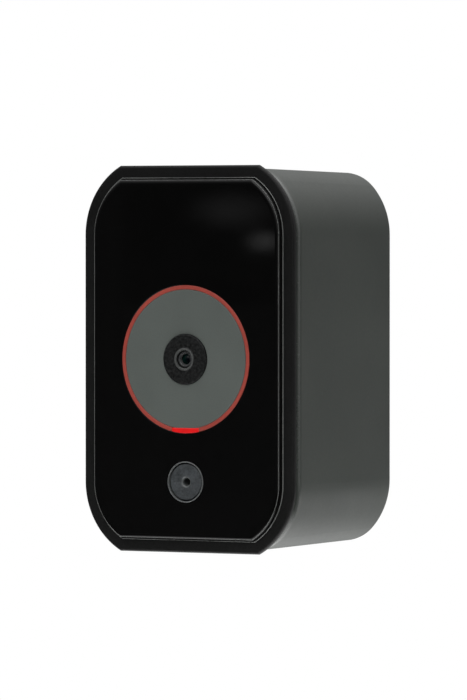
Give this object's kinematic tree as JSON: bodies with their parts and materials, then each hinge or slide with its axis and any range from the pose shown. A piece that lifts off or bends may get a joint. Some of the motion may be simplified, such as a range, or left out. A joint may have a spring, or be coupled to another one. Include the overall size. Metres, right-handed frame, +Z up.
{
  "type": "video doorbell",
  "caption": "Deep rounded-oblong video doorbell with a framed glass face, ring-lit camera, round call button and steel wall bracket.",
  "frame": {"origin": "on the wall face of the bracket, at half height, midway between the two wall holes", "axes": "+Z up, +Y out of the back into the wall, the face looks along -Y, +X to the right seen from the front"},
  "size_m": [0.068, 0.0626, 0.108],
  "materials": {
    "case_satin": "satin, fine grain",
    "bezel_black": "matt, fine speckle",
    "seal_rubber": "matt",
    "face_glass": "polished, black back print",
    "foam_black": "open foam",
    "ring_red": "satin light guide",
    "status_red": "glowing light guide",
    "plate_grey": "satin",
    "nose_black": "coarse texture",
    "barrel_black": "black anodised",
    "lens_glass": "coated",
    "holder_black": "matt",
    "filter_glass": "coated",
    "sensor_dark": "glossy",
    "board_green": "solder mask",
    "screw_zinc": "zinc plated",
    "ribbon_amber": "film",
    "socket_ivory": "moulded",
    "rim_bright": "satin chrome",
    "cap_grey": "fine texture",
    "dome_clear": "translucent silicone",
    "carbon_black": "carbon filled",
    "tin_bright": "tin plated",
    "led_white": "clear encapsulant",
    "frame_black": "moulded",
    "chip_black": "matt epoxy",
    "aerial_copper": "etched copper",
    "cell_wrap": "shrink film",
    "power_mix": "moulded and sleeved",
    "brass_post": "turned",
    "speaker_steel": "stamped",
    "cone_paper": "pressed paper",
    "bracket_steel": "black powder coat",
    "screw_black": "black plated"
  },
  "bodies": {
    "doorbell": {"housing": "case_satin", "front_bezel": "bezel_black", "case_gasket": "seal_rubber", "front_glass": "face_glass", "glass_tape": "foam_black", "light_ring": "ring_red", "status_light": "status_red", "camera_plate": "plate_grey", "lens_nose": "nose_black", "lens_barrel": "barrel_black", "front_lens": "lens_glass", "rear_lens": "lens_glass", "lens_holder": "holder_black", "ir_filter": "filter_glass", "image_sensor": "sensor_dark", "camera_board": "board_green", "camera_screws": "screw_zinc", "camera_ribbon": "ribbon_amber", "ribbon_sockets": "socket_ivory", "button_guide": "rim_bright", "button_dome": "dome_clear", "microphone": "tin_bright", "front_board": "board_green", "ring_leds": "led_white", "chassis": "frame_black", "main_board": "board_green", "shield_cans": "tin_bright", "board_chips": "chip_black", "board_screws": "screw_zinc", "wifi_aerial": "aerial_copper", "battery": "cell_wrap", "battery_tray": "frame_black", "power_board": "board_green", "power_parts": "power_mix", "terminal_posts": "brass_post", "terminal_clamps": "tin_bright", "terminal_screws": "screw_zinc", "speaker_frame": "speaker_steel", "speaker_cone": "cone_paper", "speaker_foam": "foam_black", "case_screws": "screw_zinc", "bezel_screws": "screw_zinc", "wall_bracket": "bracket_steel", "security_screw": "screw_black"},
    "call_button": {"button_cap": "cap_grey", "contact_ring": "carbon_black"}
  },
  "joints": [
    {"name": "call_button_press", "type": "slide", "parent": "doorbell", "child": "call_button", "axis": [0, 1, 0], "range_m": [0, 0.001], "stiffness_N_per_m": 1200, "springref_m": -0.001, "deforming": ["button_dome"]}
  ]
}
